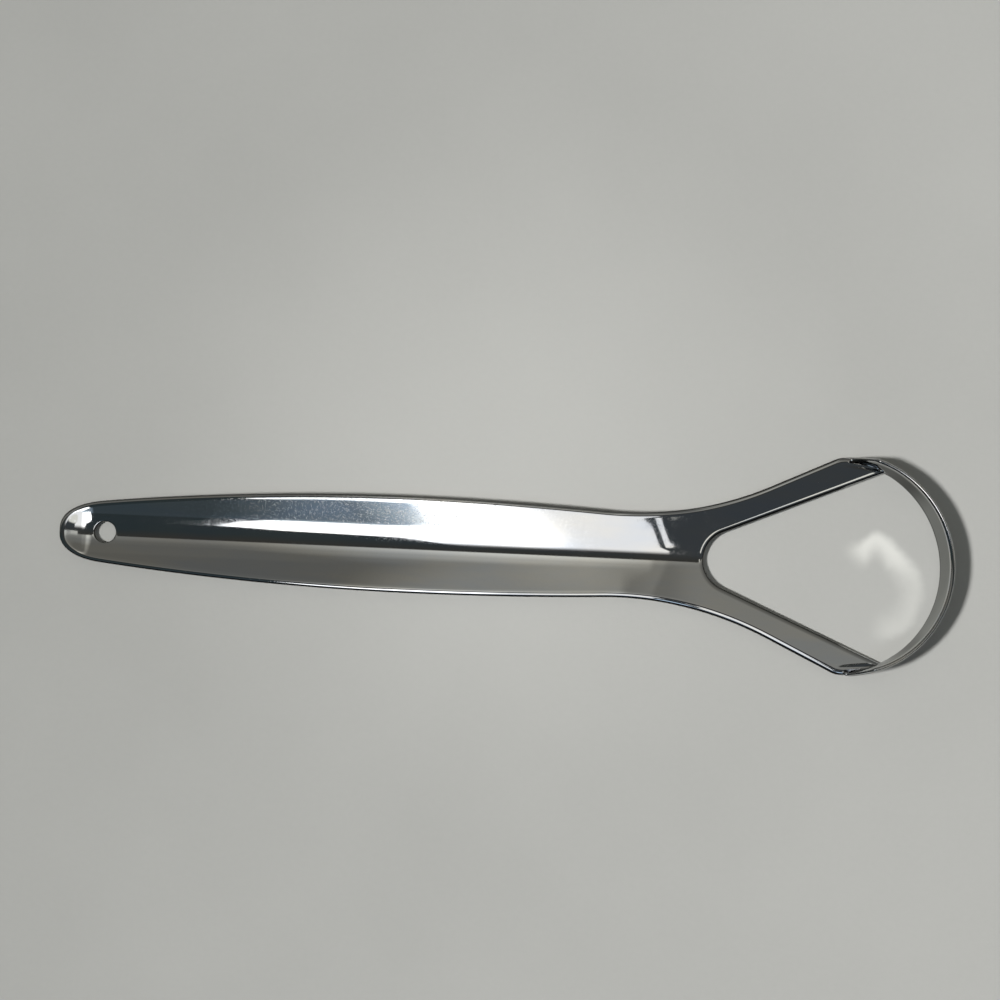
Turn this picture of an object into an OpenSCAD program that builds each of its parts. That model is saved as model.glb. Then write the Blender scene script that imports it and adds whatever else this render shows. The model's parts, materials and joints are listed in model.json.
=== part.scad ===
// Tongue scraper pressed in one piece from polished steel sheet: a leaf-shaped gutter handle with a
// hanging hole, a fork, two flat arms, and a loop of the same strip that is folded up on edge.
// +X runs from the hanging end to the loop, +Y is the left hand side and +Z is up.
// The origin is on the table, under the middle of the length.
// Every sub-part is a bent sheet, skinned over the sections that the functions below work out.

/* [Sheet] */
// Thickness of the steel sheet
sheet_t = 1.0; // [0.8:0.05:1.3]
// How far the polished rounding of an edge reaches into the sheet
edge_round = 0.9; // [0.5:0.05:1.1]
// Width of an arm where it leaves the fork
strip_w = 4.3; // [4:0.1:5.6]

/* [Handle] */
// Distance from the hanging hole to the rounded end
tip_reach = 8; // [6.5:0.5:10]
// Diameter of the hanging hole
hole_d = 3.8; // [3:0.1:4.6]
// Width of the handle at the hanging hole
hole_w = 11.2; // [9:0.1:12.5]
// Width of the handle at its widest part
belly_w = 17.4; // [16.4:0.1:20]
// Distance from the hanging hole to the widest part
belly_x = 55; // [48:1:70]
// How far each edge draws in from the widest part to the neck, before the fork
neck_draw = 1.0; // [0.6:0.1:2]
// Radius of the edge that flares from the neck to an arm
flare_r = 62; // [44:1:72]
// How far an arm's outer edge turns out from its inner edge, in degrees
arm_spread = 2.5; // [0:0.5:4]

/* [Gutter] */
// Radius of the rounded bottom of the gutter
crease_r = 12; // [9:0.5:14]
// Slope of the gutter's flanks at the hanging end, in degrees
end_slope = 20; // [14:1:24]
// Slope of the flanks at the neck, in degrees
neck_slope = 12; // [9:1:16]
// Slope of the arms, in degrees
arm_slope = 6; // [4:0.5:8]
// Height of the crosswise bend over the hanging end
neck_rise = 0.8; // [0.4:0.1:1.6]

/* [Fork] */
// Distance from the hanging hole to the bottom of the fork
fork_x = 107.4; // [102:0.1:114]
// Radius of the bottom of the fork
fork_r = 5.4; // [4.5:0.1:6.5]

/* [Loop] */
// Outer diameter of the loop's upper rim
loop_d = 39.8; // [36:0.1:43]
// Distance from the bottom of the fork to the far side of the rim
loop_reach = 44.6; // [42:0.1:52]
// Width of the loop's wall
wall_w = 4.9; // [4:0.1:6]
// Lean of the wall towards the far end, in degrees
wall_lean = 18; // [8:1:24]
// How far the outer edge of an arm, drawn on, lies inside the circle of the rim
shoulder_gap = 2.4; // [1:0.1:3.6]
// Radius of the corners of the opening
mouth_r = 1.9; // [1.4:0.1:2.6]
// Radius of the outer corners, where the arms pass into the rim
shoulder_r = 5; // [3:0.5:10]

/* [Hidden] */

half_t = sheet_t / 2;
overrun = 1;
// Step for slopes and directions, in the plan and as a share of a path
slope_step = 0.01;
step_share = 0.002;

// The tip is a superellipse, and the crosswise bend lies just before the fork
tip_fullness = 2.55;
bend_gap_share = 1.45;
bend_len_share = 0.6;
bend_x = fork_x - bend_gap_share * fork_r;
bend_len = bend_len_share * fork_r;
// The flanks keep their slope from the hole as far as here
steady_share = 0.6;
steady_x = steady_share * belly_x;

// The wall of the loop: its height, how far its rim stands out, and the round of its edges
wall_h = wall_w * cos(wall_lean);
wall_shift = wall_w * sin(wall_lean);
rim_bulge = norm([edge_round * sin(wall_lean), half_t * cos(wall_lean)]) - edge_round * sin(wall_lean);
foot_z = norm([edge_round * cos(wall_lean), half_t * sin(wall_lean)]) - edge_round * cos(wall_lean);
rim_z = foot_z + wall_h;

// In plan the foot and the rim of the wall are equal circles, the rim's a little farther out
wall_r = loop_d / 2 - rim_bulge;
rim_c = [fork_x + loop_reach - loop_d / 2, 0];
foot_c = rim_c - [wall_shift, 0];

// The inner edge of an arm touches the round of the fork and a circle around the rim's centre
fork_c = [fork_x + fork_r, 0];
arm_reach = wall_r - shoulder_gap - strip_w;
arm_angle = asin((arm_reach - fork_r) / (rim_c.x - fork_c.x));
outer_angle = arm_angle + arm_spread;
arm_in = fork_c + fork_r * heading(arm_angle + 90);
arm_out = arm_in + strip_w * heading(arm_angle + 90);

// The outer edge bends from the neck into the arm, and from the belly into the neck
neck_y = belly_w / 2 - neck_draw;
flare_end_y = neck_y + flare_r * (1 - cos(outer_angle));
flare_end_x = arm_out.x + (flare_end_y - arm_out.y) / tan(outer_angle);
neck_x = flare_end_x - flare_r * sin(outer_angle);
belly_r = ((neck_x - belly_x) ^ 2 + neck_draw ^ 2) / (2 * neck_draw) - flare_r;
flare_start_x = belly_x + (neck_x - belly_x) * belly_r / (belly_r + flare_r);
hole_taper = (belly_w - hole_w) / belly_x;

// The head dips from the bend so far that the mouth's corners come down to the table
mouth_c = corner_c(arm_in, arm_angle, mouth_r, foot_c, wall_r);
mouth_start = mouth_c + mouth_r * heading(arm_angle + 90);
dip = (neck_rise + gutter(mouth_start.y, arm_slope)) / (mouth_start.x - bend_x);
mid_x = (fork_x + loop_reach - tip_reach) / 2;

// Numbers of steps: along the handle, the tip, the fork, an arm, a corner and half the loop,
// then across a face and around an edge
handle_steps = 36;
tip_steps = 12;
crease_steps = 5;
fork_steps = 12;
arm_steps = 6;
corner_steps = 20;
loop_steps = 16;
face_steps = 8;
strip_steps = 3;
edge_steps = 6;

function mix(a, b, share) = a + (b - a) * share;
function unit(v) = v / norm(v);
function heading(angle) = [cos(angle), sin(angle)];
function clamp(share) = max(0, min(1, share));
function ease(share) = let (s = clamp(share)) s * s * (3 - 2 * s);
// A ramp from 0 to 1 that is straight but for a rounded start and end
function ramp(share, round_share) =
    let (s = clamp(share), w = round_share)
    s < w ? s * s / (2 * w * (1 - w))
    : s > 1 - w ? 1 - (1 - s) ^ 2 / (2 * w * (1 - w))
    : (s - w / 2) / (1 - w);

// Height of a gutter at a distance from its middle: a round bottom between two straight flanks
function gutter(distance, slope) =
    let (turn = crease_r * sin(slope))
    distance < turn ? crease_r - sqrt(crease_r ^ 2 - distance ^ 2)
    : crease_r * (1 - cos(slope)) + (distance - turn) * tan(slope);

// The flanks grow flatter from the hanging end to the neck, and again to the arms
function slope_at(x) =
    end_slope
    + (neck_slope - end_slope) * ease((x - steady_x) / (neck_x - steady_x))
    + (arm_slope - neck_slope) * ease((x - neck_x) / (fork_x - neck_x));

// The bottom of the gutter rises to the crosswise bend and dips after it
function crease_z(x) =
    let (rise = neck_rise / bend_x, past = x - bend_x + bend_len / 2)
    half_t + rise * x
    - (past < 0 ? 0 : past > bend_len ? (rise + dip) * (past - bend_len / 2)
    : (rise + dip) * past ^ 2 / (2 * bend_len));

// The middle of the sheet over a place in the plan, and the direction square to it
function height(x, y) =
    x < 0 ? half_t + gutter(norm([x, y]), end_slope) : crease_z(x) + gutter(abs(y), slope_at(x));
function lay(p) = [p.x, p.y, height(p.x, p.y)];
function up(p) =
    let (d = slope_step)
    unit([
        height(p.x - d, p.y) - height(p.x + d, p.y),
        height(p.x, p.y - d) - height(p.x, p.y + d),
        2 * d
    ]);
function face(p, side) = lay(p) + side * half_t * up(p);

// Half the width of the handle at a distance from the hole
function half_width(x) =
    x < belly_x ? belly_w / 2 - (belly_w - hole_w) / 2 * (1 - x / belly_x) ^ 2
    : x < flare_start_x ? belly_w / 2 - belly_r + sqrt(belly_r ^ 2 - (x - belly_x) ^ 2)
    : x < flare_end_x ? neck_y + flare_r - sqrt(flare_r ^ 2 - (x - neck_x) ^ 2)
    : arm_out.y + (x - arm_out.x) * tan(outer_angle);

// The left edge in plan: q runs from 0 at the tip to 1 beside the hole, and on to 2 at the bend
function tip_edge(q) =
    let (turn = 90 * q, x = -tip_reach * cos(turn) ^ (2 / tip_fullness))
    [x, (hole_w / 2 + hole_taper * x) * sin(turn) ^ (2 / tip_fullness)];
function edge(q) =
    q < 0 ? let (p = tip_edge(-q)) [p.x, -p.y]
    : q < 1 ? tip_edge(q)
    : let (x = bend_x * (q - 1)) [x, half_width(x)];
function edge_inset(q) =
    let (d = unit(edge(q + step_share) - edge(q - step_share)))
    edge(q) + edge_round * [d.y, -d.x];

// The rounded edge of a sheet from the inset q to the edge p, at a turn of 0 to 180 degrees
function rounding(q, p, normal, turn) = q + sin(turn) * (p - q) + cos(turn) * half_t * normal;
function plan_rounding(inset, edge, turn) = rounding(lay(inset), lay(edge), up(inset), turn);

// Half a section of the gutter: the upper face out to the edge, around it, and back below
function half_section(foot, inset, edge) = [
    each [for (k = [0:face_steps]) face(mix(foot, inset, k / face_steps), 1)],
    each [for (k = [1:edge_steps - 1]) plan_rounding(inset, edge, 180 * k / edge_steps)],
    each [for (k = [face_steps:-1:0]) face(mix(foot, inset, k / face_steps), -1)]
];

// Triangles between two rows of points, over many rows, and across a flat end
function is_whole(t) = t[0] != t[1] && t[1] != t[2] && t[2] != t[0];
function strip(a, b) = [
    for (k = [0:len(a) - 2]) each [
        for (t = [[a[k], a[k + 1], b[k + 1]], [a[k], b[k + 1], b[k]]]) if (is_whole(t)) t
    ]
];
function skin(rows) = [for (k = [0:len(rows) - 2]) each strip(rows[k], rows[k + 1])];
function end_face(row) =
    let (last = len(row) - 1, half = floor(last / 2))
    strip([for (k = [0:half]) row[k]], [for (k = [0:half]) row[last - k]]);
function turned(triangles) = [for (t = triangles) [t[2], t[1], t[0]]];
function flipped(p) = [p.x, 0 - p.y, p.z];
function mirrored(triangles) = [for (t = triangles) [for (k = [2:-1:0]) flipped(t[k])]];

// A closed sheet from its triangles, moved so that the middle of the length is over the origin
module sheet(triangles) {
    translate([-mid_x, 0, 0])
        polyhedron(
            points = [for (t = triangles) each t],
            faces = [for (k = [0:len(triangles) - 1]) [3 * k, 3 * k + 1, 3 * k + 2]],
            convexity = 8
        );
}

// The leaf-shaped gutter: its sections fan around the hole at the tip and then run straight
module handle_sheet() {
    stations = [
        each [for (k = [0:tip_steps]) k / tip_steps],
        each [for (k = [1:handle_steps]) 1 + k / handle_steps]
    ];
    rows = [for (q = stations) half_section([max(0, edge(q).x), 0], edge_inset(q), edge(q))];
    left = [each skin(rows), each end_face(rows[len(rows) - 1])];
    sheet([each left, each mirrored(left)]);
}

module handle() {
    color("silver")
        difference() {
            handle_sheet();
            translate([-mid_x, 0, -overrun])
                cylinder(h = sheet_t + 2 * overrun, d = hole_d, $fn = 64);
        }
}

// The fork: first the end of the gutter, then the round where it parts into two arms
module fork() {
    count = crease_steps + fork_steps;
    // Places on the outer edge, and on the middle line and then around the fork's round
    outer = [for (k = [0:count]) let (x = mix(bend_x, arm_out.x, k / count)) [x, half_width(x)]];
    inset = [
        for (p = outer)
            let (d = unit([2 * slope_step, half_width(p.x + slope_step) - half_width(p.x - slope_step)]))
            p + edge_round * [d.y, -d.x]
    ];
    turns = [for (k = [0:fork_steps]) (90 - arm_angle) * k / fork_steps];
    around = [for (a = turns) [-cos(a), sin(a)]];
    foot = [
        each [for (k = [0:crease_steps - 1]) [mix(bend_x, fork_x - edge_round, k / crease_steps), 0]],
        each [for (d = around) fork_c + (fork_r + edge_round) * d]
    ];
    rows = [for (k = [0:count]) half_section(foot[k], inset[k], outer[k])];
    round_rows = [
        for (d = around) [
            for (k = [0:edge_steps])
                plan_rounding(fork_c + (fork_r + edge_round) * d, fork_c + fork_r * d, 180 * k / edge_steps)
        ]
    ];
    ends = [
        each turned(end_face(rows[0])),
        each end_face(rows[count]),
        each turned(end_face(round_rows[fork_steps]))
    ];
    left = [each skin(rows), each turned(skin(round_rows)), each ends];
    color("silver") sheet([each left, each mirrored(left)]);
}

// A corner in plan: a round from the arm's straight edge into a circle, then along that circle.
// Its centre lies at its own radius from the arm's edge, inside the circle.
function corner_c(start, angle, r, c, circle_r) =
    let (p = start - r * heading(angle + 90), d = p - c, b = d * heading(angle))
    p + heading(angle) * (sqrt(b ^ 2 - d * d + (circle_r - r) ^ 2) - b);
function corner_path(share, start, angle, r, c, circle_r, end_angle) =
    let (
        middle = corner_c(start, angle, r, c, circle_r),
        join_angle = atan2(middle.y - c.y, middle.x - c.x),
        turn = (90 + angle - join_angle) * r,
        walk = share * (turn + (join_angle - end_angle) * circle_r)
    )
    walk < turn ? middle + r * heading(90 + angle - walk / r)
    : c + circle_r * heading(join_angle - (walk - turn) / circle_r);

// Where the corner of the shoulder begins, and where that of the mouth ends
shoulder_c = corner_c(arm_out, outer_angle, shoulder_r, rim_c, wall_r);
shoulder_start = shoulder_c + shoulder_r * heading(outer_angle + 90);
loop_angle = atan2(mouth_c.y - foot_c.y, mouth_c.x - foot_c.x);
// The strip stays flat for a share of the corner, rises over the next share of it, and starts and
// ends its rise with a round
flat_share = 0.22;
rise_share = 0.42;
fold_share = 0.2;

// The loop falls a little from the corners of the mouth, so that its far side stands on the table
fall = (lay(mouth_start).z - foot_z) / (foot_c.x + wall_r - mouth_start.x);
function foot_height(x) = foot_z + fall * (foot_c.x + wall_r - x);
function rim_height(x) = rim_z + fall * (rim_c.x + wall_r - x);

// Inner and outer edge of the strip: s is 0 to 1 on the left arm, to 2 in the corner, to 3 around
// the loop to its far side, and then the same on the other side
function inner_rail(s) =
    s > 3 ? flipped(inner_rail(6 - s))
    : s < 1 ? lay(mix(arm_in, mouth_start, s))
    : let (a = loop_angle * (3 - s), p = s < 2
        ? corner_path(s - 1, arm_in, arm_angle, mouth_r, foot_c, wall_r, loop_angle)
        : foot_c + wall_r * heading(a)
    ) [p.x, p.y, foot_height(p.x)];
function outer_rail(s) =
    s > 3 ? flipped(outer_rail(6 - s))
    : s < 1 ? let (x = mix(arm_out.x, shoulder_start.x, s)) lay([x, half_width(x)])
    : let (a = loop_angle * (3 - s), turned_up = ramp((s - 1 - flat_share) / rise_share, fold_share), p = s < 2
        ? corner_path(s - 1, arm_out, outer_angle, shoulder_r, rim_c, wall_r, loop_angle)
        : rim_c + wall_r * heading(a)
    ) [p.x, p.y, mix(lay(p).z, rim_height(p.x), turned_up)];

// A closed section of the strip: around its inner edge, over the inner or upper face, around the
// outer edge, and back
function strip_section(s) =
    let (
        d = step_share,
        i = inner_rail(s),
        o = outer_rail(s),
        i_run = unit(inner_rail(s + d) - inner_rail(s - d)),
        o_run = unit(outer_rail(s + d) - outer_rail(s - d)),
        i_up = unit(cross(i_run, o - i)),
        o_up = unit(cross(o_run, o - i)),
        i_inset = i + edge_round * cross(i_up, i_run),
        o_inset = o - edge_round * cross(o_up, o_run)
    )
    [
        each [for (k = [edge_steps:-1:0]) rounding(i_inset, i, i_up, 180 * k / edge_steps)],
        each [for (k = [1:strip_steps - 1]) let (m = k / strip_steps)
            mix(i_inset, o_inset, m) + half_t * unit(mix(i_up, o_up, m))],
        each [for (k = [0:edge_steps]) rounding(o_inset, o, o_up, 180 * k / edge_steps)],
        each [for (k = [strip_steps - 1:-1:1]) let (m = k / strip_steps)
            mix(i_inset, o_inset, m) - half_t * unit(mix(i_up, o_up, m))]
    ];
function section_face(row) =
    let (first = edge_steps / 2, count = len(row))
    end_face([for (k = [0:count - 1]) row[(k + first) % count]]);

module strip_sheet(stations) {
    rows = [for (s = stations) let (row = strip_section(s)) [each row, row[0]]];
    open_rows = [strip_section(stations[0]), strip_section(stations[len(stations) - 1])];
    sheet([
        each skin(rows),
        each turned(section_face(open_rows[0])),
        each section_face(open_rows[1])
    ]);
}

module arm() {
    color("gainsboro") strip_sheet([for (k = [0:arm_steps]) k / arm_steps]);
}

module left_arm() {
    arm();
}

module right_arm() {
    mirror([0, 1, 0]) arm();
}

// The loop starts and ends on the folds, and its wall runs round from one corner to the other
module scraping_loop() {
    left = [
        each [for (k = [0:corner_steps - 1]) 1 + k / corner_steps],
        each [for (k = [0:loop_steps - 1]) 2 + k / loop_steps]
    ];
    color("lightgray")
        strip_sheet([each left, 3, each [for (k = [len(left) - 1:-1:0]) 6 - left[k]]]);
}

handle();
fork();
left_arm();
right_arm();
scraping_loop();
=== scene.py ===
import json
import math

import bmesh
import bpy
import numpy as np
from mathutils import Matrix, Vector


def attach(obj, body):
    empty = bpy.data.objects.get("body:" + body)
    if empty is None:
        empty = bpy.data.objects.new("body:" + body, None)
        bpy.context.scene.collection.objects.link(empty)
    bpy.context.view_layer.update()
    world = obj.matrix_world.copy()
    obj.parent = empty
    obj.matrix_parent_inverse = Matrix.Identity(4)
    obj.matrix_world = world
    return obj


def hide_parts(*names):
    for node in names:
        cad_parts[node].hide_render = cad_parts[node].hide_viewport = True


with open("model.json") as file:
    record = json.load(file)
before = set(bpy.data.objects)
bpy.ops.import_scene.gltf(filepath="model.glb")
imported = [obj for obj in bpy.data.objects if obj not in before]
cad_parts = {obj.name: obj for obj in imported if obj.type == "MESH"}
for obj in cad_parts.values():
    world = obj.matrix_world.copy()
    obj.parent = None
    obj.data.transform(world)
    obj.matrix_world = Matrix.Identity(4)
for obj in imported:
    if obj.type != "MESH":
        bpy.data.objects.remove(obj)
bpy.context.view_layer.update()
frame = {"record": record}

# Sizes of the sheet in millimetres, with x measured from the middle of the hanging hole
HOLE = frame["record"]["mounts"][0]
HOLE_X = HOLE["pos_m"][0]
HOLE_R = HOLE["dims"]["r_mm"]
MM = 0.001

# The sheet itself, and how far the rounding of an edge reaches into it
SHEET_T = 1.0
EDGE_ROUND = 0.9
RIM_ROUND = 0.28
STRIP_W = 4.3
# The leaf-shaped handle
TIP_REACH = 8.0
TIP_FULLNESS = 2.55
HOLE_W = 11.2
BELLY_W = 17.4
BELLY_X = 55.0
NECK_DRAW = 1.0
FLARE_R = 62.0
ARM_SPREAD = 2.5
# The gutter: round bottom, slopes of its flanks in degrees, and its crosswise bend
CREASE_R = 12.0
END_SLOPE = 20.0
NECK_SLOPE = 12.0
ARM_SLOPE = 6.0
STEADY_SHARE = 0.6
NECK_RISE = 0.8
BEND_GAP_SHARE = 1.45
BEND_LEN_SHARE = 0.6
# The fork and the loop
FORK_X = 107.4
FORK_R = 5.4
LOOP_D = 39.8
LOOP_REACH = 44.6
WALL_W = 4.9
WALL_LEAN = 18.0
SHOULDER_GAP = 2.4
MOUTH_R = 1.9
SHOULDER_R = 5.0
FLAT_SHARE = 0.22
RISE_SHARE = 0.42
FOLD_SHARE = 0.2

# Steps of the mesh
FACE_STEPS = 24
EDGE_STEPS = 12
RIM_STEPS = 6
TIP_STEPS = 48
TIP_SIDE_STEPS = 14
RAY_STEPS = 16
HANDLE_STEPS = 180
FORK_LEAD_STEPS = 16
FORK_STEPS = 48
ARM_STEPS = 20
CORNER_STEPS = 72
LOOP_STEPS = 64
SLOPE_STEP = 0.01
PATH_STEP = 0.002
WELD = 0.01

HALF_T = SHEET_T / 2
BEND_X = FORK_X - BEND_GAP_SHARE * FORK_R
BEND_LEN = BEND_LEN_SHARE * FORK_R
STEADY_X = STEADY_SHARE * BELLY_X
# The round end of the gutter is centred at the hole's rim on the side of the tip, and the mesh
# there is made of rays that end at JOIN_X
FAN_X = -2.0
JOIN_X = 6.0


def sin(degrees):
    return math.sin(math.radians(degrees))


def cos(degrees):
    return math.cos(math.radians(degrees))


def polar(degrees):
    return np.array([cos(degrees), sin(degrees)])


def unit(v):
    return v / np.linalg.norm(v, axis=-1, keepdims=True)


def mix(a, b, share):
    return a + (b - a) * share


def ease(share):
    s = np.clip(share, 0, 1)
    return s * s * (3 - 2 * s)


def ramp(share, round_share):
    """Rises from 0 to 1, straight but for a rounded start and end."""
    s = min(max(share, 0), 1)
    w = round_share
    if s < w:
        return s * s / (2 * w * (1 - w))
    if s > 1 - w:
        return 1 - (1 - s) ** 2 / (2 * w * (1 - w))
    return (s - w / 2) / (1 - w)


def gutter(distance, slope):
    """Height of the gutter at a distance from its middle, for a slope in degrees of its flanks."""
    angle = np.radians(slope)
    turn = CREASE_R * np.sin(angle)
    near = np.minimum(distance, turn)
    flank = np.maximum(distance - turn, 0) * np.tan(angle)
    return CREASE_R - np.sqrt(CREASE_R**2 - near**2) + flank


def bulge(reach, half):
    """How far a rounded edge of this reach stands out past the middle of a leaning sheet."""
    return math.hypot(reach, half) - reach


# The wall of the loop, and the circles that its foot and its rim follow
WALL_H = WALL_W * cos(WALL_LEAN)
WALL_SHIFT = WALL_W * sin(WALL_LEAN)
RIM_BULGE = bulge(EDGE_ROUND * sin(WALL_LEAN), HALF_T * cos(WALL_LEAN))
FOOT_Z = bulge(EDGE_ROUND * cos(WALL_LEAN), HALF_T * sin(WALL_LEAN))
WALL_R = LOOP_D / 2 - RIM_BULGE
RIM_C = np.array([FORK_X + LOOP_REACH - LOOP_D / 2, 0])
FOOT_C = RIM_C - [WALL_SHIFT, 0]

# The arms: their inner edge touches the fork's round and a circle around the rim's centre
FORK_C = np.array([FORK_X + FORK_R, 0])
ARM_REACH = WALL_R - SHOULDER_GAP - STRIP_W
ARM_ANGLE = math.degrees(math.asin((ARM_REACH - FORK_R) / (RIM_C[0] - FORK_C[0])))
OUTER_ANGLE = ARM_ANGLE + ARM_SPREAD
ARM_IN = FORK_C + FORK_R * polar(ARM_ANGLE + 90)
ARM_OUT = ARM_IN + STRIP_W * polar(ARM_ANGLE + 90)

# The handle's outer edge flares from the neck into the arm
NECK_Y = BELLY_W / 2 - NECK_DRAW
FLARE_END_Y = NECK_Y + FLARE_R * (1 - cos(OUTER_ANGLE))
FLARE_END_X = ARM_OUT[0] + (FLARE_END_Y - ARM_OUT[1]) / math.tan(math.radians(OUTER_ANGLE))
NECK_X = FLARE_END_X - FLARE_R * sin(OUTER_ANGLE)
BELLY_R = ((NECK_X - BELLY_X) ** 2 + NECK_DRAW**2) / (2 * NECK_DRAW) - FLARE_R
FLARE_START_X = BELLY_X + (NECK_X - BELLY_X) * BELLY_R / (BELLY_R + FLARE_R)
HOLE_TAPER = (BELLY_W - HOLE_W) / BELLY_X


def corner_c(start, angle, radius, centre, circle_r):
    """Centre of a corner's round, which touches an arm's edge and then, from inside, a circle."""
    p = start - radius * polar(angle + 90)
    d = p - centre
    b = d @ polar(angle)
    return p + polar(angle) * (math.sqrt(b**2 - d @ d + (circle_r - radius) ** 2) - b)


# The corner of the mouth, to which the head dips from the crosswise bend
MOUTH_C = corner_c(ARM_IN, ARM_ANGLE, MOUTH_R, FOOT_C, WALL_R)
MOUTH_START = MOUTH_C + MOUTH_R * polar(ARM_ANGLE + 90)
DIP = (NECK_RISE + float(gutter(MOUTH_START[1], ARM_SLOPE))) / (MOUTH_START[0] - BEND_X)


def slope_at(x):
    return (
        END_SLOPE
        + (NECK_SLOPE - END_SLOPE) * ease((x - STEADY_X) / (NECK_X - STEADY_X))
        + (ARM_SLOPE - NECK_SLOPE) * ease((x - NECK_X) / (FORK_X - NECK_X))
    )


def crease_z(x):
    """The bottom of the gutter rises to the crosswise bend and dips after it."""
    rise = NECK_RISE / BEND_X
    past = x - BEND_X + BEND_LEN / 2
    bent = np.clip(past, 0, BEND_LEN)
    turned = bent**2 / (2 * BEND_LEN) + np.maximum(past - BEND_LEN, 0)
    return HALF_T + rise * x - (rise + DIP) * turned


def height(x, y):
    """Height of the middle of the sheet over a place in the plan."""
    fan = gutter(np.hypot(x - FAN_X, y), END_SLOPE)
    return crease_z(np.maximum(x, 0)) + np.where(x < FAN_X, fan, gutter(np.abs(y), slope_at(x)))


def lay(plan):
    return np.concatenate([plan, height(plan[..., 0], plan[..., 1])[..., None]], axis=-1)


def up(plan):
    """Direction square to the sheet over a place in the plan."""
    x, y, d = plan[..., 0], plan[..., 1], SLOPE_STEP
    slope_x = height(x - d, y) - height(x + d, y)
    slope_y = height(x, y - d) - height(x, y + d)
    return unit(np.stack([slope_x, slope_y, np.full_like(x, 2 * d)], axis=-1))


def face(plan, side):
    return lay(plan) + side * HALF_T * up(plan)


def half_width(x):
    if x < BELLY_X:
        return BELLY_W / 2 - (BELLY_W - HOLE_W) / 2 * (1 - x / BELLY_X) ** 2
    if x < FLARE_START_X:
        return BELLY_W / 2 - BELLY_R + math.sqrt(BELLY_R**2 - (x - BELLY_X) ** 2)
    if x < FLARE_END_X:
        return NECK_Y + FLARE_R - math.sqrt(FLARE_R**2 - (x - NECK_X) ** 2)
    return ARM_OUT[1] + (x - ARM_OUT[0]) * math.tan(math.radians(OUTER_ANGLE))


def edge(q):
    """The left edge in plan: q is 0 at the tip, 1 beside the hole and 2 at the bend."""
    if q < 0:
        return edge(-q) * [1, -1]
    if q < 1:
        x = -TIP_REACH * cos(90 * q) ** (2 / TIP_FULLNESS)
        return np.array([x, (HOLE_W / 2 + HOLE_TAPER * x) * sin(90 * q) ** (2 / TIP_FULLNESS)])
    x = BEND_X * (q - 1)
    return np.array([x, half_width(x)])


def inset_from(point, direction):
    """The place in plan that lies inside an edge by the reach of its rounding, along the slope."""
    inward = np.array([direction[1], -direction[0]])
    drop = lay(point + SLOPE_STEP * inward)[2] - lay(point)[2]
    return point + inward * EDGE_ROUND * SLOPE_STEP / math.hypot(SLOPE_STEP, drop)


def edge_inset(q):
    return inset_from(edge(q), unit(edge(q + PATH_STEP) - edge(q - PATH_STEP)))


def rounding(inset, rim, normal, turns):
    """The rounded edge of the sheet, from its upper face at 0 degrees to its lower face at 180."""
    a = np.radians(turns)[:, None]
    return inset + np.sin(a) * (rim - inset) + np.cos(a) * HALF_T * normal


def plan_rounding(inset, rim):
    return rounding(lay(inset), lay(rim), up(inset), np.linspace(0, 180, EDGE_STEPS + 1))


def half_section(foot, inset, rim):
    """Half a section of the gutter: the upper face out to the edge, around it, and back below."""
    line = mix(foot, inset, np.linspace(0, 1, FACE_STEPS + 1)[:, None])
    return np.concatenate([face(line, 1), plan_rounding(inset, rim)[1:-1], face(line[::-1], -1)])


def hole_wall(upper, lower):
    """The hole's wall between the ends of a ray on both faces, with rounded rims."""
    t = np.radians(np.linspace(0, 90, RIM_STEPS + 1))
    direction = unit(upper[:2])
    out = []
    for start, side in ((upper, 1), (lower, -1)):
        radius = HOLE_R + (np.linalg.norm(start[:2]) - HOLE_R) * (1 - np.sin(t))
        z = start[2] - side * RIM_ROUND * (1 - np.cos(t))
        out.append(np.column_stack([radius[:, None] * direction, z]))
    return np.concatenate([out[0], out[1][::-1]])


def ray(outer):
    """Upper face, lower face and hole wall along a ray from the hole's rim to a place in plan."""
    inner = (HOLE_R + RIM_ROUND) * unit(outer)
    line = mix(inner, outer, np.linspace(0, 1, RAY_STEPS + 1)[:, None])
    upper, lower = face(line, 1), face(line, -1)
    return upper, lower, hole_wall(upper[0], lower[0])


def tip_patches():
    """The end of the handle: rays from the hole to the edge and to the first plain section."""
    tip = np.linspace(0, 1, TIP_STEPS + 1)
    side = 1 + np.linspace(0, JOIN_X / BEND_X, TIP_SIDE_STEPS + 1)[1:]
    stations = [*tip, *side]
    rims = [edge(q) for q in stations]
    insets = [edge_inset(q) for q in stations]
    shares = np.linspace(1, 0, FACE_STEPS + 1)
    across = [mix(np.array([JOIN_X, 0]), insets[-1], share) for share in shares]
    patches = [np.array([plan_rounding(i, r) for i, r in zip(insets, rims)])]
    for places in (insets, across):
        patches += [np.array(rows) for rows in zip(*[ray(p) for p in places])]
    return patches


def handle_patches():
    rows = []
    for q in 1 + np.linspace(JOIN_X / BEND_X, 1, HANDLE_STEPS + 1):
        rim = edge(q)
        rows.append(half_section(np.array([rim[0], 0]), edge_inset(q), rim))
    return [*tip_patches(), np.array(rows)]


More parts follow.
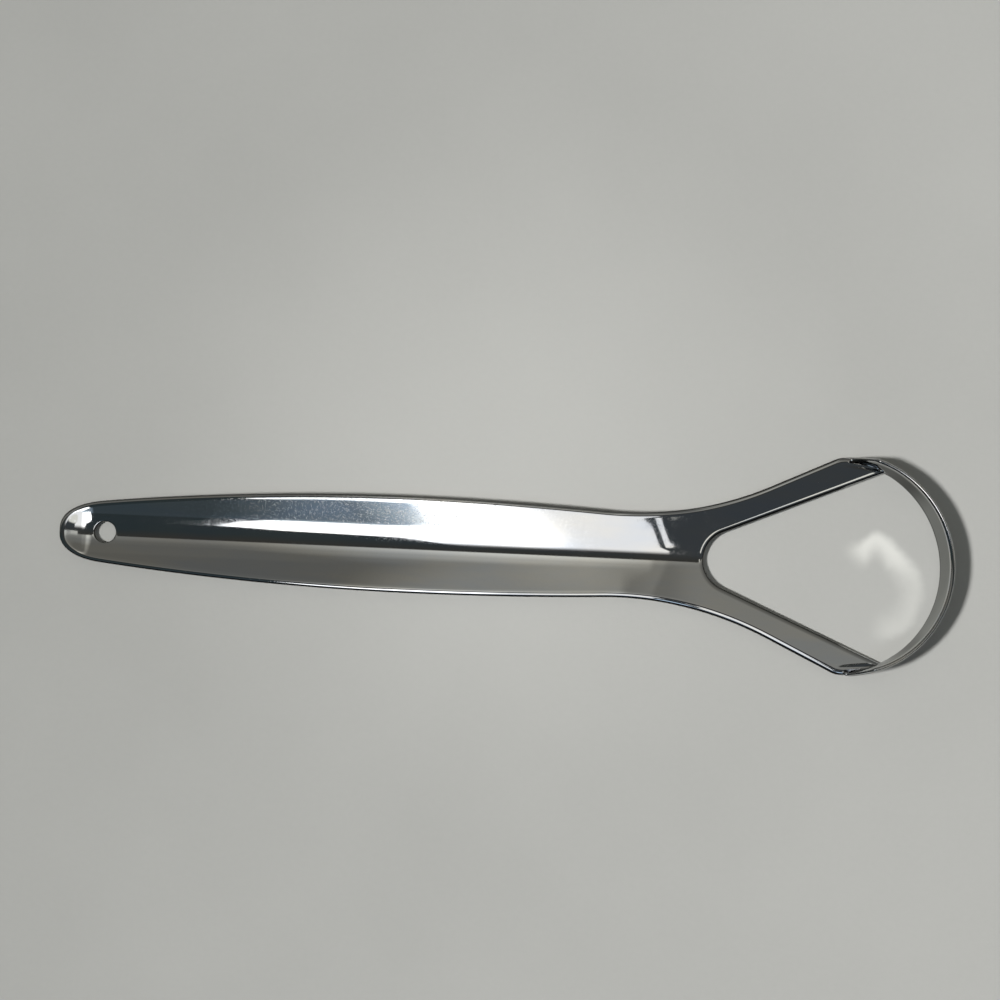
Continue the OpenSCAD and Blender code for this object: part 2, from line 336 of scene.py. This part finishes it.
def fork_patches():
    """The end of the gutter, then the round where it parts into two arms."""
    count = FORK_LEAD_STEPS + FORK_STEPS
    around = [polar(180 - (90 - ARM_ANGLE) * k / FORK_STEPS) for k in range(FORK_STEPS + 1)]
    rounds = [FORK_C + FORK_R * d for d in around]
    insets = [inset_from(p, np.array([-d[1], d[0]])) for p, d in zip(rounds, around)]
    lead = np.linspace(0, 1, FORK_LEAD_STEPS + 1)[:-1]
    feet = [mix(np.array([BEND_X, 0]), insets[0], share) for share in lead] + insets
    rows = []
    for k, foot in enumerate(feet):
        x = mix(BEND_X, ARM_OUT[0], k / count)
        widening = half_width(x + SLOPE_STEP) - half_width(x - SLOPE_STEP)
        direction = np.array([2 * SLOPE_STEP, widening])
        rim = np.array([x, half_width(x)])
        rows.append(half_section(foot, inset_from(rim, unit(direction)), rim))
    round_rows = [plan_rounding(i, r) for i, r in zip(insets, rounds)]
    return [np.array(rows), np.array(round_rows)]


def corner_path(share, start, angle, radius, centre, circle_r, end_angle):
    """A place in plan on a corner: around its round, then along the circle to the end angle."""
    middle = corner_c(start, angle, radius, centre, circle_r)
    join_angle = math.degrees(math.atan2(*(middle - centre)[::-1]))
    turn = math.radians(90 + angle - join_angle) * radius
    walk = share * (turn + math.radians(join_angle - end_angle) * circle_r)
    if walk < turn:
        return middle + radius * polar(90 + angle - math.degrees(walk / radius))
    return centre + circle_r * polar(join_angle - math.degrees((walk - turn) / circle_r))


SHOULDER_C = corner_c(ARM_OUT, OUTER_ANGLE, SHOULDER_R, RIM_C, WALL_R)
SHOULDER_START = SHOULDER_C + SHOULDER_R * polar(OUTER_ANGLE + 90)
LOOP_ANGLE = math.degrees(math.atan2(*(MOUTH_C - FOOT_C)[::-1]))
FALL = (lay(MOUTH_START)[2] - FOOT_Z) / (FOOT_C[0] + WALL_R - MOUTH_START[0])
RIM_Z = FOOT_Z + WALL_H
FLIP = np.array([1, -1, 1])


def inner_rail(s):
    """Inner edge of the strip: s is 0 at the fork, 1 and 2 at a corner's ends, 3 half way round."""
    if s > 3:
        return inner_rail(6 - s) * FLIP
    if s < 1:
        return lay(mix(ARM_IN, MOUTH_START, s))
    if s < 2:
        p = corner_path(s - 1, ARM_IN, ARM_ANGLE, MOUTH_R, FOOT_C, WALL_R, LOOP_ANGLE)
    else:
        p = FOOT_C + WALL_R * polar(LOOP_ANGLE * (3 - s))
    return np.array([*p, FOOT_Z + FALL * (FOOT_C[0] + WALL_R - p[0])])


def outer_rail(s):
    """Outer edge of the strip, which becomes the upper rim of the loop."""
    if s > 3:
        return outer_rail(6 - s) * FLIP
    if s < 1:
        x = mix(ARM_OUT[0], SHOULDER_START[0], s)
        return lay(np.array([x, half_width(x)]))
    if s < 2:
        p = corner_path(s - 1, ARM_OUT, OUTER_ANGLE, SHOULDER_R, RIM_C, WALL_R, LOOP_ANGLE)
    else:
        p = RIM_C + WALL_R * polar(LOOP_ANGLE * (3 - s))
    rim_height = RIM_Z + FALL * (RIM_C[0] + WALL_R - p[0])
    turned_up = ramp((s - 1 - FLAT_SHARE) / RISE_SHARE, FOLD_SHARE)
    return np.array([*p, mix(lay(p)[2], rim_height, turned_up)])


def strip_section(s):
    """A closed section of the strip: inner edge, upper or inner face, outer edge, and back."""
    i, o = inner_rail(s), outer_rail(s)
    i_run = unit(inner_rail(s + PATH_STEP) - inner_rail(s - PATH_STEP))
    o_run = unit(outer_rail(s + PATH_STEP) - outer_rail(s - PATH_STEP))
    i_up = unit(np.cross(i_run, o - i))
    o_up = unit(np.cross(o_run, o - i))
    i_inset = i + EDGE_ROUND * np.cross(i_up, i_run)
    o_inset = o - EDGE_ROUND * np.cross(o_up, o_run)
    turns = np.linspace(0, 180, EDGE_STEPS + 1)
    m = np.linspace(0, 1, FACE_STEPS + 1)[1:-1, None]
    middle = mix(i_inset, o_inset, m)
    normal = unit(mix(i_up, o_up, m))
    return np.concatenate([
        rounding(i_inset, i, i_up, turns[::-1]),
        middle + HALF_T * normal,
        rounding(o_inset, o, o_up, turns),
        (middle - HALF_T * normal)[::-1],
        rounding(i_inset, i, i_up, turns[-1:]),
    ])


def strip_patch(stations):
    return np.array([strip_section(s) for s in stations])


def sheet_patches():
    """The patches of each part of the sheet, as grids of points."""
    arm = strip_patch(np.linspace(0, 1, ARM_STEPS + 1))
    corner = np.linspace(1, 2, CORNER_STEPS + 1)[:-1]
    loop = np.linspace(2, 3, LOOP_STEPS + 1)[:-1]
    half = [*corner, *loop]
    both = [*half, 3, *[6 - s for s in half[::-1]]]
    handle = handle_patches()
    fork = fork_patches()
    return {
        "handle": handle + [p * FLIP for p in handle],
        "fork": fork + [p * FLIP for p in fork],
        "left_arm": [arm],
        "right_arm": [arm * FLIP],
        "scraping_loop": [strip_patch(both)],
    }


def whole_sheet(parts):
    """One closed mesh of all the patches, with the part's number on each face."""
    bm = bmesh.new()
    layer = bm.faces.layers.int.new("part")
    for number, patches in enumerate(parts.values()):
        for points in patches:
            rows = [[bm.verts.new(p) for p in row] for row in points]
            for a, b in zip(rows, rows[1:]):
                for k in range(len(a) - 1):
                    bm.faces.new((a[k], a[k + 1], b[k + 1], b[k]))[layer] = number
    bmesh.ops.remove_doubles(bm, verts=bm.verts, dist=WELD)
    bmesh.ops.dissolve_degenerate(bm, edges=bm.edges, dist=WELD / 10)
    bmesh.ops.recalc_face_normals(bm, faces=bm.faces)
    bm.normal_update()
    bm.verts.index_update()
    return bm, layer


def part_mesh(bm, layer, number, name):
    """The mesh of one part, closed where it meets its neighbours, shaded as the whole sheet is."""
    faces = [f for f in bm.faces if f[layer] == number]
    used = sorted({v.index for f in faces for v in f.verts})
    new_index = {old: new for new, old in enumerate(used)}
    bm.verts.ensure_lookup_table()
    hole = Vector((HOLE_X, 0, 0))
    points = [bm.verts[v].co * MM + hole for v in used]
    normals = [bm.verts[v].normal.copy() for v in used]
    mesh = bpy.data.meshes.new(name)
    mesh.from_pydata(points, [], [[new_index[v.index] for v in f.verts] for f in faces])
    part = bmesh.new()
    part.from_mesh(mesh)
    bmesh.ops.holes_fill(part, edges=[e for e in part.edges if e.is_boundary], sides=0)
    part.to_mesh(mesh)
    part.free()
    mesh.polygons.foreach_set("use_smooth", [True] * len(mesh.polygons))
    shading = []
    for polygon in mesh.polygons:
        for v in polygon.vertices:
            shading.append(normals[v] if polygon.index < len(faces) else polygon.normal.copy())
    mesh.normals_split_custom_set(shading)
    return mesh


class Nodes:
    """Builds a node tree in short steps; an input is a number, a colour or a node's output."""

    def __init__(self, tree):
        self.tree = tree

    def add(self, kind, inputs=None, **settings):
        node = self.tree.nodes.new(kind)
        for name, value in settings.items():
            setattr(node, name, value)
        for name, value in (inputs or {}).items():
            self.put(node.inputs[name], value)
        return node

    def put(self, socket, value):
        if isinstance(value, bpy.types.NodeSocket):
            self.tree.links.new(value, socket)
        else:
            socket.default_value = value

    def math(self, operation, first, *others):
        """One operation on a value, or on it and each further value in turn."""
        for other in others or (0.0,):
            first = self.add("ShaderNodeMath", {0: first, 1: other}, operation=operation).outputs[0]
        return first

    def span(self, value, low, high, to_low=0.0, to_high=1.0, soft=False):
        """Carries the span low..high of a value over to another span, and holds its ends."""
        names = ("Value", "From Min", "From Max", "To Min", "To Max")
        inputs = dict(zip(names, (value, low, high, to_low, to_high)))
        kind = "SMOOTHSTEP" if soft else "LINEAR"
        return self.add("ShaderNodeMapRange", inputs, interpolation_type=kind).outputs["Result"]

    def split(self, vector):
        """The x, y and z of a vector."""
        return self.add("ShaderNodeSeparateXYZ", {"Vector": vector}).outputs

    def vector(self, operation, a, b=(0, 0, 0)):
        return self.add("ShaderNodeVectorMath", {0: a, 1: b}, operation=operation).outputs

    def place(self, where, stretch=(1, 1, 1), shift=(0, 0, 0)):
        inputs = {"Vector": where, "Scale": stretch, "Location": shift}
        return self.add("ShaderNodeMapping", inputs).outputs["Vector"]

    def noise(self, where, scale, detail=2.0, roughness=0.5, distortion=0.0):
        inputs = {"Vector": where, "Scale": scale, "Detail": detail}
        inputs.update({"Roughness": roughness, "Distortion": distortion})
        return self.add("ShaderNodeTexNoise", inputs).outputs["Fac"]

    def blend(self, share, a, b):
        node = self.add("ShaderNodeMix", data_type="RGBA")
        for index, value in ((0, share), (6, a), (7, b)):
            self.put(node.inputs[index], value)
        return node.outputs[2]

    def bump(self, height, depth, strength=1.0, under=None):
        inputs = {"Strength": strength, "Distance": depth, "Height": height}
        if under is not None:
            inputs["Normal"] = under
        return self.add("ShaderNodeBump", inputs).outputs["Normal"]


def start_material(name):
    material = bpy.data.materials.new(name)
    material.use_nodes = True
    tree = material.node_tree
    return material, Nodes(tree), tree.nodes["Principled BSDF"]


# Layers of fine scratches: the scale and width of their lines, the scale of their mask, the value
# from which the mask lets them through, and a shift
SCRATCHES = (
    (2000.0, 0.022, 1700.0, 0.50, (0, 0, 0)),
    (3200.0, 0.035, 2400.0, 0.54, (0.4, 0.1, 0.2)),
    (900.0, 0.006, 900.0, 0.55, (0.9, 0.7, 0.3)),
)
MASK_BLEND = 0.04
# The handle is scratched most near its middle, where it is held: the place in metres, and the
# share of the scratches that is left elsewhere
HELD_FROM = (-0.055, -0.03)
HELD_TO = (0.01, -0.01)
HELD_SIDE = (0.0026, 0.004)
SCRATCHES_ELSEWHERE = 0.1
# Gentle waves in the sheet and streaks along it, with depths in metres
WAVE_SCALE = 85.0
WAVE_DEPTH = 0.000012
STREAK_STRETCH = (26, 1500, 1500)
STREAK_DEPTH = 0.0000006
SCRATCH_DEPTH = 0.0000032
# Smears take the roughness from 0.03 to 0.06, and scratches and worn edges add to it
SMEAR_SCALE = 120.0
SMEARS = (0.4, 0.7, 0.03, 0.06)
SCRATCH_ROUGHNESS = 0.3
WORN = (0.52, 0.6)
WORN_ROUGHNESS = 0.04
# Where the strip stands upright, in metres
LOOP_START = 0.0598
LOOP_BLEND = 0.0012
# How level a face is: at 1 it lies flat and at 0 it stands upright
UPRIGHT_LEVEL = (0.5, 0.36)
HANDLE_EDGE_LEVEL = (0.9, 0.78)
CUT_EDGE_LEVEL = (0.27, 0.2)
PATCH_STRETCH = (60, 260, 260)
PATCHES = (0.35, 0.65)
COOL_STEEL = (0.525, 0.545, 0.575, 1)
WARM_STEEL = (0.58, 0.572, 0.55, 1)
UPRIGHT_STEEL = (0.28, 0.285, 0.275, 1)
# Painted shade for the edges, standing in for the dark room that they mirror
EDGE_SHADE_STEEL = (0.08, 0.08, 0.075, 1)


def hairlines(nodes, where, scale, width, mask_scale, amount, shift):
    """Short curved scratches: thin level lines of one noise, kept where a second noise is high."""
    moved = nodes.place(where, shift=shift)
    level = nodes.math("ABSOLUTE", nodes.math("SUBTRACT", nodes.noise(moved, scale, 1.0), 0.5))
    line = nodes.span(level, width, 0.0, soft=True)
    kept = nodes.span(nodes.noise(moved, mask_scale), amount, amount + MASK_BLEND)
    return nodes.math("MULTIPLY", line, kept)


def polished_steel():
    """Mirror-polished sheet with fine scratches, rolling streaks, faint smears and worn edges, and
    painted shade on its edges.
    """
    material, nodes, shader = start_material("polished_steel")
    where = nodes.add("ShaderNodeTexCoord").outputs["Object"]
    geometry = nodes.add("ShaderNodeNewGeometry")
    along, across, _ = nodes.split(where)

    held = nodes.math(
        "MULTIPLY",
        nodes.span(along, *HELD_FROM, soft=True),
        nodes.span(along, *HELD_TO, soft=True),
        nodes.span(across, *HELD_SIDE, soft=True),
    )
    scratches = nodes.math("MAXIMUM", *[hairlines(nodes, where, *layer) for layer in SCRATCHES])
    kept = nodes.span(held, 0.0, 1.0, SCRATCHES_ELSEWHERE, 1.0)
    scratches = nodes.math("MULTIPLY", scratches, kept)

    smears = nodes.noise(where, SMEAR_SCALE, detail=3.0, roughness=0.6, distortion=0.4)
    worn = nodes.span(geometry.outputs["Pointiness"], *WORN)
    rough = nodes.math(
        "ADD",
        nodes.span(smears, *SMEARS),
        nodes.math("MULTIPLY", scratches, SCRATCH_ROUGHNESS),
        nodes.math("MULTIPLY", worn, WORN_ROUGHNESS),
    )

    # Painted shade: the cut edges and the rounded edges of the handle are painted darker than the
    # flat sheet, standing in for the dark room that they mirror; the upright face of the loop is
    # darker
    patches = nodes.noise(nodes.place(where, PATCH_STRETCH), 1.0, detail=3.0)
    tint = nodes.blend(nodes.span(patches, *PATCHES), COOL_STEEL, WARM_STEEL)
    level = nodes.math("ABSOLUTE", nodes.split(geometry.outputs["Normal"])["Z"])
    loop = nodes.span(along, LOOP_START, LOOP_START + LOOP_BLEND)
    upright = nodes.math("MULTIPLY", loop, nodes.span(level, *UPRIGHT_LEVEL, soft=True))
    handle = nodes.math("SUBTRACT", 1.0, loop)
    handle_edge_shade = nodes.math("MULTIPLY", handle, nodes.span(level, *HANDLE_EDGE_LEVEL, soft=True))
    edge_shade = nodes.math("MAXIMUM", handle_edge_shade, nodes.span(level, *CUT_EDGE_LEVEL, soft=True))
    tint = nodes.blend(upright, tint, UPRIGHT_STEEL)
    tint = nodes.blend(edge_shade, tint, EDGE_SHADE_STEEL)

    waves = nodes.noise(where, WAVE_SCALE, detail=1.0)
    streaks = nodes.noise(nodes.place(where, STREAK_STRETCH), 1.0)
    relief = nodes.bump(waves, WAVE_DEPTH)
    relief = nodes.bump(streaks, STREAK_DEPTH, under=relief)
    relief = nodes.bump(scratches, SCRATCH_DEPTH, under=relief)
    shader.inputs["Metallic"].default_value = 1
    nodes.put(shader.inputs["Base Color"], tint)
    nodes.put(shader.inputs["Roughness"], rough)
    nodes.put(shader.inputs["Normal"], relief)
    return material


# The painted arc of light, glowing in the table where the loop throws light inside itself: its
# place and sizes in metres, and the turns in radians between which it brightens and fades
ARC_AT = (0.066, -0.0042, 0)
ARC_R = 0.0084
ARC_RIDGE = -0.0006
ARC_OUTSIDE = 0.0016
ARC_INSIDE = -0.0052
ARC_GLOW = 0.27
ARC_LIGHT = (1, 1, 0.93, 1)
RIPPLE_SCALE = 260.0
RIPPLE_HEIGHT = 0.0016
CUSP_HEIGHT = 0.0017
CUSP_RISE = (1.0, 1.5)
CUSP_FALL = (1.9, 1.5)
FADE_IN = (-1.75, -1.1, 0.0, 0.42)
BRIGHTEN = (0.0, 1.2, 1.0, 2.4)
FADE_OUT = (2.35, 1.7)


def loop_light(nodes, where):
    """A painted arc of light with a soft inner side, brightest near its cusp."""
    away = nodes.vector("SUBTRACT", where, ARC_AT)["Vector"]
    x, y, _ = nodes.split(away)
    turn = nodes.math("ARCTAN2", y, x)
    wobble = nodes.math("SUBTRACT", nodes.noise(where, RIPPLE_SCALE), 0.5)
    ripple = nodes.math("MULTIPLY", wobble, RIPPLE_HEIGHT)
    distance = nodes.math("ADD", nodes.vector("LENGTH", away)["Value"], ripple)
    rise = nodes.span(turn, *CUSP_RISE, soft=True)
    cusp = nodes.math("MULTIPLY", rise, nodes.span(turn, *CUSP_FALL, soft=True))
    cusp = nodes.math("MULTIPLY", cusp, CUSP_HEIGHT)
    distance = nodes.math("SUBTRACT", distance, ARC_R, cusp)
    strength = nodes.math(
        "MULTIPLY",
        nodes.span(turn, *FADE_IN, soft=True),
        nodes.span(turn, *BRIGHTEN, soft=True),
        nodes.span(turn, *FADE_OUT, soft=True),
    )
    outer = nodes.span(distance, ARC_OUTSIDE, ARC_RIDGE, soft=True)
    inner = nodes.span(distance, ARC_INSIDE, ARC_RIDGE, soft=True)
    return nodes.math("MULTIPLY", strength, nodes.math("MULTIPLY", outer, inner))


# The table top is paler in a pool of light and towards the loop: places in metres, and the shares
# that clouds, pool and side add on the way from its dark tone to its pale one
POOL_AT = (-0.002, 0.018, 0)
POOL_REACH = 0.075
POOL_SHARE = 0.42
CLOUD_SCALE = 22.0
CLOUDS = (0.35, 0.65, 0.0, 0.1)
GRAIN_SCALE = 900.0
GRAIN_PART = 0.2
PALE_SIDE = (-0.1, 0.1, 0.0, 0.55)
DARK_TABLE = (0.475, 0.475, 0.45, 1)
PALE_TABLE = (0.76, 0.755, 0.717, 1)
TABLE_ROUGHNESS = 0.5
GRAIN_DEPTH = 0.0001
GRAIN_STRENGTH = 0.3


def table_top():
    """A plain pale grey board with a faint uneven tone, paler towards the loop, with a painted pool
    of light and a painted arc of light glowing in it.
    """
    material, nodes, shader = start_material("pale_table")
    where = nodes.add("ShaderNodeTexCoord").outputs["Object"]
    cloud = nodes.noise(where, CLOUD_SCALE, detail=4.0, roughness=0.55)
    grain = nodes.noise(where, GRAIN_SCALE)
    cloudy = nodes.math("MULTIPLY", cloud, 1 - GRAIN_PART)
    cloudy = nodes.math("ADD", cloudy, nodes.math("MULTIPLY", grain, GRAIN_PART))
    # Painted light: a pool of light painted into the table's colour
    away = nodes.vector("DISTANCE", where, POOL_AT)["Value"]
    pool = nodes.span(away, POOL_REACH, 0.0, soft=True)
    tone = nodes.math(
        "ADD",
        nodes.span(cloudy, *CLOUDS),
        nodes.math("MULTIPLY", pool, POOL_SHARE),
        nodes.span(nodes.split(where)["X"], *PALE_SIDE),
    )
    nodes.put(shader.inputs["Base Color"], nodes.blend(tone, DARK_TABLE, PALE_TABLE))
    shader.inputs["Roughness"].default_value = TABLE_ROUGHNESS
    # Painted light: the table glows in the arc of light that the loop throws
    shader.inputs["Emission Color"].default_value = ARC_LIGHT
    glow = nodes.math("MULTIPLY", loop_light(nodes, where), ARC_GLOW)
    nodes.put(shader.inputs["Emission Strength"], glow)
    nodes.put(shader.inputs["Normal"], nodes.bump(grain, GRAIN_DEPTH, GRAIN_STRENGTH))
    return material


def add_object(name, mesh, material):
    obj = bpy.data.objects.new(name, mesh)
    bpy.context.scene.collection.objects.link(obj)
    mesh.materials.append(material)
    return obj


def add_scraper(material):
    parts = sheet_patches()
    bm, layer = whole_sheet(parts)
    for number, node in enumerate(parts):
        name = node + "_sheet"
        piece = add_object(name, part_mesh(bm, layer, number, name), material)
        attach(piece, "root")
        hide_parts(node)
    bm.free()


# The table, in metres
TABLE_SIDE = 6.0


def add_table(material):
    half = TABLE_SIDE / 2
    mesh = bpy.data.meshes.new("table_top")
    corners = [(-half, -half, 0), (half, -half, 0), (half, half, 0), (-half, half, 0)]
    mesh.from_pydata(corners, [], [(0, 1, 2, 3)])
    add_object("table_top", mesh, material)


# The camera stands above the object, a little to its right hand side, and turned a little
CAMERA_AIM = Vector((-0.00152, 0.0092, 0))
CAMERA_AWAY = 0.4147
CAMERA_TILT = 8.0
CAMERA_TURN = 2.66
LENS = 82.8
CLIP_START = 0.01
CLIP_END = 20


def add_camera():
    data = bpy.data.cameras.new("camera")
    data.lens = LENS
    data.clip_start = CLIP_START
    data.clip_end = CLIP_END
    camera = bpy.data.objects.new("camera", data)
    bpy.context.scene.collection.objects.link(camera)
    right = Vector((cos(CAMERA_TURN), sin(CAMERA_TURN), 0))
    away = Vector((0, -sin(CAMERA_TILT), cos(CAMERA_TILT)))
    right = (right - right.dot(away) * away).normalized()
    above = away.cross(right)
    turn = Matrix((right, above, away)).transposed()
    camera.matrix_world = Matrix.Translation(CAMERA_AIM + CAMERA_AWAY * away) @ turn.to_4x4()
    bpy.context.scene.camera = camera


# The lamp stands high beyond the hanging hole and shines at the table's middle (metres, watts)
LAMP_AT = (-2.7, -0.78, 3.24)
LAMP_SIZE = 0.6
LAMP_POWER = 158


def add_lamp(name):
    data = bpy.data.lights.new(name, "AREA")
    data.shape = "DISK"
    data.size = LAMP_SIZE
    data.energy = LAMP_POWER
    lamp = bpy.data.objects.new(name, data)
    bpy.context.scene.collection.objects.link(lamp)
    lamp.location = LAMP_AT
    lamp.rotation_mode = "QUATERNION"
    lamp.rotation_quaternion = Vector(LAMP_AT).to_track_quat("Z", "Y")
    lamp.visible_glossy = False


# A glowing card hangs over the table, with a small strip beside it, for the steel to mirror
CARD_HEIGHT = 0.43
CARD_EDGE = [
    (-0.019, 0.036), (0.114, 0.036), (0.114, -0.031), (0.081, -0.073), (0.077, -0.105),
    (0.077, -0.250), (-0.092, -0.250), (-0.108, -0.168), (-0.112, -0.100), (-0.088, -0.071),
    (-0.045, -0.053),
]
STRIP_EDGE = [(0.100, -0.088), (0.104, -0.068), (0.126, -0.062), (0.124, -0.086)]
# It dims towards its left edge and towards the loop
CARD_GLOW = 3.0
LEFT_SIDE = (0.026, -0.031, 0.12, CARD_GLOW)
LOOP_SIDE = (0.0, 0.024, 1.0, 0.46)
# Its right hand end is dim and bluish: the line where that starts slants up to a point, which a
# notch cuts out of the dim end, and runs straight from there to the loop's side
SLANT = (-0.041, -0.0234, -0.219, -0.198)
SLANT_BLEND = 0.002
NOTCH_SLOPE = 1.92
NOTCH_LINE = (-0.148, -0.152)
NOTCH_ALONG = (-0.012, -0.018)
NOTCH_ACROSS = (-0.216, -0.211)
STRAIGHT_ALONG = (-0.0234, -0.0204)
STRAIGHT_ACROSS = (-0.214, -0.203)
DIM_SHARE = (-0.250, -0.220, 0.085, 0.27)
BLUISH = (0.78, 0.96, 1.12, 1)
WHITE = (1, 1, 1, 1)
BLACK = (0, 0, 0, 1)


def white_card():
    """Glows evenly but for its left edge, the loop's side and its dim end."""
    material, nodes, shader = start_material("white_card")
    x, y, _ = nodes.split(nodes.add("ShaderNodeTexCoord").outputs["Object"])
    past_slant = nodes.math("SUBTRACT", y, nodes.span(x, *SLANT))
    bright = nodes.span(past_slant, -SLANT_BLEND, SLANT_BLEND, soft=True)
    past_notch = nodes.math("SUBTRACT", y, nodes.math("MULTIPLY", x, NOTCH_SLOPE))
    notch = nodes.math(
        "MULTIPLY",
        nodes.span(past_notch, *NOTCH_LINE, soft=True),
        nodes.span(y, *NOTCH_ACROSS),
        nodes.span(x, *NOTCH_ALONG),
    )
    straight = nodes.span(y, *STRAIGHT_ACROSS, soft=True)
    straight = nodes.math("MULTIPLY", straight, nodes.span(x, *STRAIGHT_ALONG))
    bright = nodes.math("MAXIMUM", bright, nodes.math("MAXIMUM", notch, straight))
    glow = nodes.math(
        "MULTIPLY",
        nodes.span(y, *LEFT_SIDE, soft=True),
        nodes.span(bright, 0.0, 1.0, nodes.span(y, *DIM_SHARE), 1.0),
        nodes.span(x, *LOOP_SIDE, soft=True),
    )
    shader.inputs["Base Color"].default_value = BLACK
    shader.inputs["Roughness"].default_value = 1
    shader.inputs["Specular IOR Level"].default_value = 0
    nodes.put(shader.inputs["Emission Color"], nodes.blend(bright, BLUISH, WHITE))
    nodes.put(shader.inputs["Emission Strength"], glow)
    return material


def add_card(name, outline, material):
    mesh = bpy.data.meshes.new(name)
    mesh.from_pydata([(x, y, CARD_HEIGHT) for x, y in outline], [], [list(range(len(outline)))])
    card = add_object(name, mesh, material)
    card.visible_shadow = False
    card.visible_diffuse = False


# The room is drawn by the x and y of a direction over its z, which is held above LOWEST. A patch
# of light is a row of spans, each with the shares of light at its two ends.
LOWEST = 0.08
WALL_START = (0.225, 0.25)
WALL = (
    ("y", 0.25, 0.45, 1.0, 0.62), ("y", 0.45, 0.70, 1.0, 0.55), ("y", 0.70, 1.10, 1.0, 0.65),
    ("x", -0.16, 0.00, 0.20, 0.86), ("x", 0.01, 0.09, 1.0, 0.43), ("x", 0.15, 0.22, 1.0, 0.72),
)
FAR_WALL = (("y", 0.9, 1.5, 0.11, 0.03),)
BEYOND_START = (0.32, 0.34)
BEYOND_LOOP = (("x", 0.54, 0.60, 1.0, 0.0),)
DOOR = (("y", 0.13, 0.15, 0.0, 1.0), ("y", 0.20, 0.36, 0.62, 0.15), ("y", 0.36, 0.40, 1.0, 0.0))
WINDOW = (("y", -0.44, -0.38, 0.0, 1.5), ("y", -0.16, -0.08, 1.0, 0.0))
HAZE_START = (0.10, 0.16, 0.26, 1.1)
HAZE = (
    ("y", -0.50, -0.46, 1.0, 0.0), ("y", -0.80, -0.70, 0.0, 1.0),
    ("x", -0.17, -0.09, 0.1, 1.0), ("x", 0.34, 0.40, 1.0, 0.0),
)
# The dark of the room is cool, a little paler towards the loop, black far to the right and warm
# on the left
TOWARDS_LOOP = (-0.2, 0.2)
FAR_RIGHT = (-0.8, -1.0)
LEFTWARD = (0.0, 0.2)
COOL_DARK = (0.034, 0.047, 0.051, 1)
COOL_DIM = (0.058, 0.066, 0.072, 1)
NEAR_BLACK = (0.012, 0.013, 0.013, 1)
WARM_DARK = (0.050, 0.050, 0.046, 1)
HAZE_LIGHT = (0.78, 1.0, 1.25, 1)
WALL_LIGHT = (1.10, 1.09, 1.0, 1)
BACKDROP = (0.36, 0.36, 0.34, 1)


def add_room():
    """A dim room with a pale wall on the left hand side of the scraper."""
    world = bpy.data.worlds.new("room")
    bpy.context.scene.world = world
    world.use_nodes = True
    nodes = Nodes(world.node_tree)
    background = world.node_tree.nodes["Background"]
    x, y, z = nodes.split(nodes.add("ShaderNodeTexCoord").outputs["Generated"])
    above = nodes.math("MAXIMUM", z, LOWEST)
    over = {"x": nodes.math("DIVIDE", x, above), "y": nodes.math("DIVIDE", y, above)}

    def patch(start, spans):
        for axis, *numbers in spans:
            start = nodes.math("MULTIPLY", start, nodes.span(over[axis], *numbers, soft=True))
        return start

    wall_start = nodes.span(over["y"], *WALL_START, soft=True)
    wall = nodes.math("MAXIMUM", patch(wall_start, WALL), patch(wall_start, FAR_WALL))
    beyond = patch(nodes.span(over["x"], *BEYOND_START), BEYOND_LOOP)
    lights = nodes.math("MAXIMUM", patch(beyond, DOOR), patch(beyond, WINDOW))
    haze = patch(nodes.span(over["x"], *HAZE_START, soft=True), HAZE)
    dark = nodes.blend(nodes.span(over["x"], *TOWARDS_LOOP), COOL_DARK, COOL_DIM)
    dark = nodes.blend(haze, dark, HAZE_LIGHT)
    dark = nodes.blend(nodes.span(over["y"], *FAR_RIGHT), dark, NEAR_BLACK)
    dark = nodes.blend(nodes.span(over["y"], *LEFTWARD), dark, WARM_DARK)
    colour = nodes.blend(nodes.math("MAXIMUM", wall, lights), dark, WALL_LIGHT)
    # Past the end of the table the camera sees a plain backdrop instead
    seen = nodes.add("ShaderNodeLightPath").outputs["Is Camera Ray"]
    nodes.put(background.inputs["Color"], nodes.blend(seen, colour, BACKDROP))
    background.inputs["Strength"].default_value = 1


add_camera()
add_scraper(polished_steel())
add_table(table_top())
add_room()
card_material = white_card()
add_card("white_card", CARD_EDGE, card_material)
add_card("card_strip", STRIP_EDGE, card_material)
add_lamp("main_lamp")

bpy.context.scene.view_settings.view_transform = "Standard"
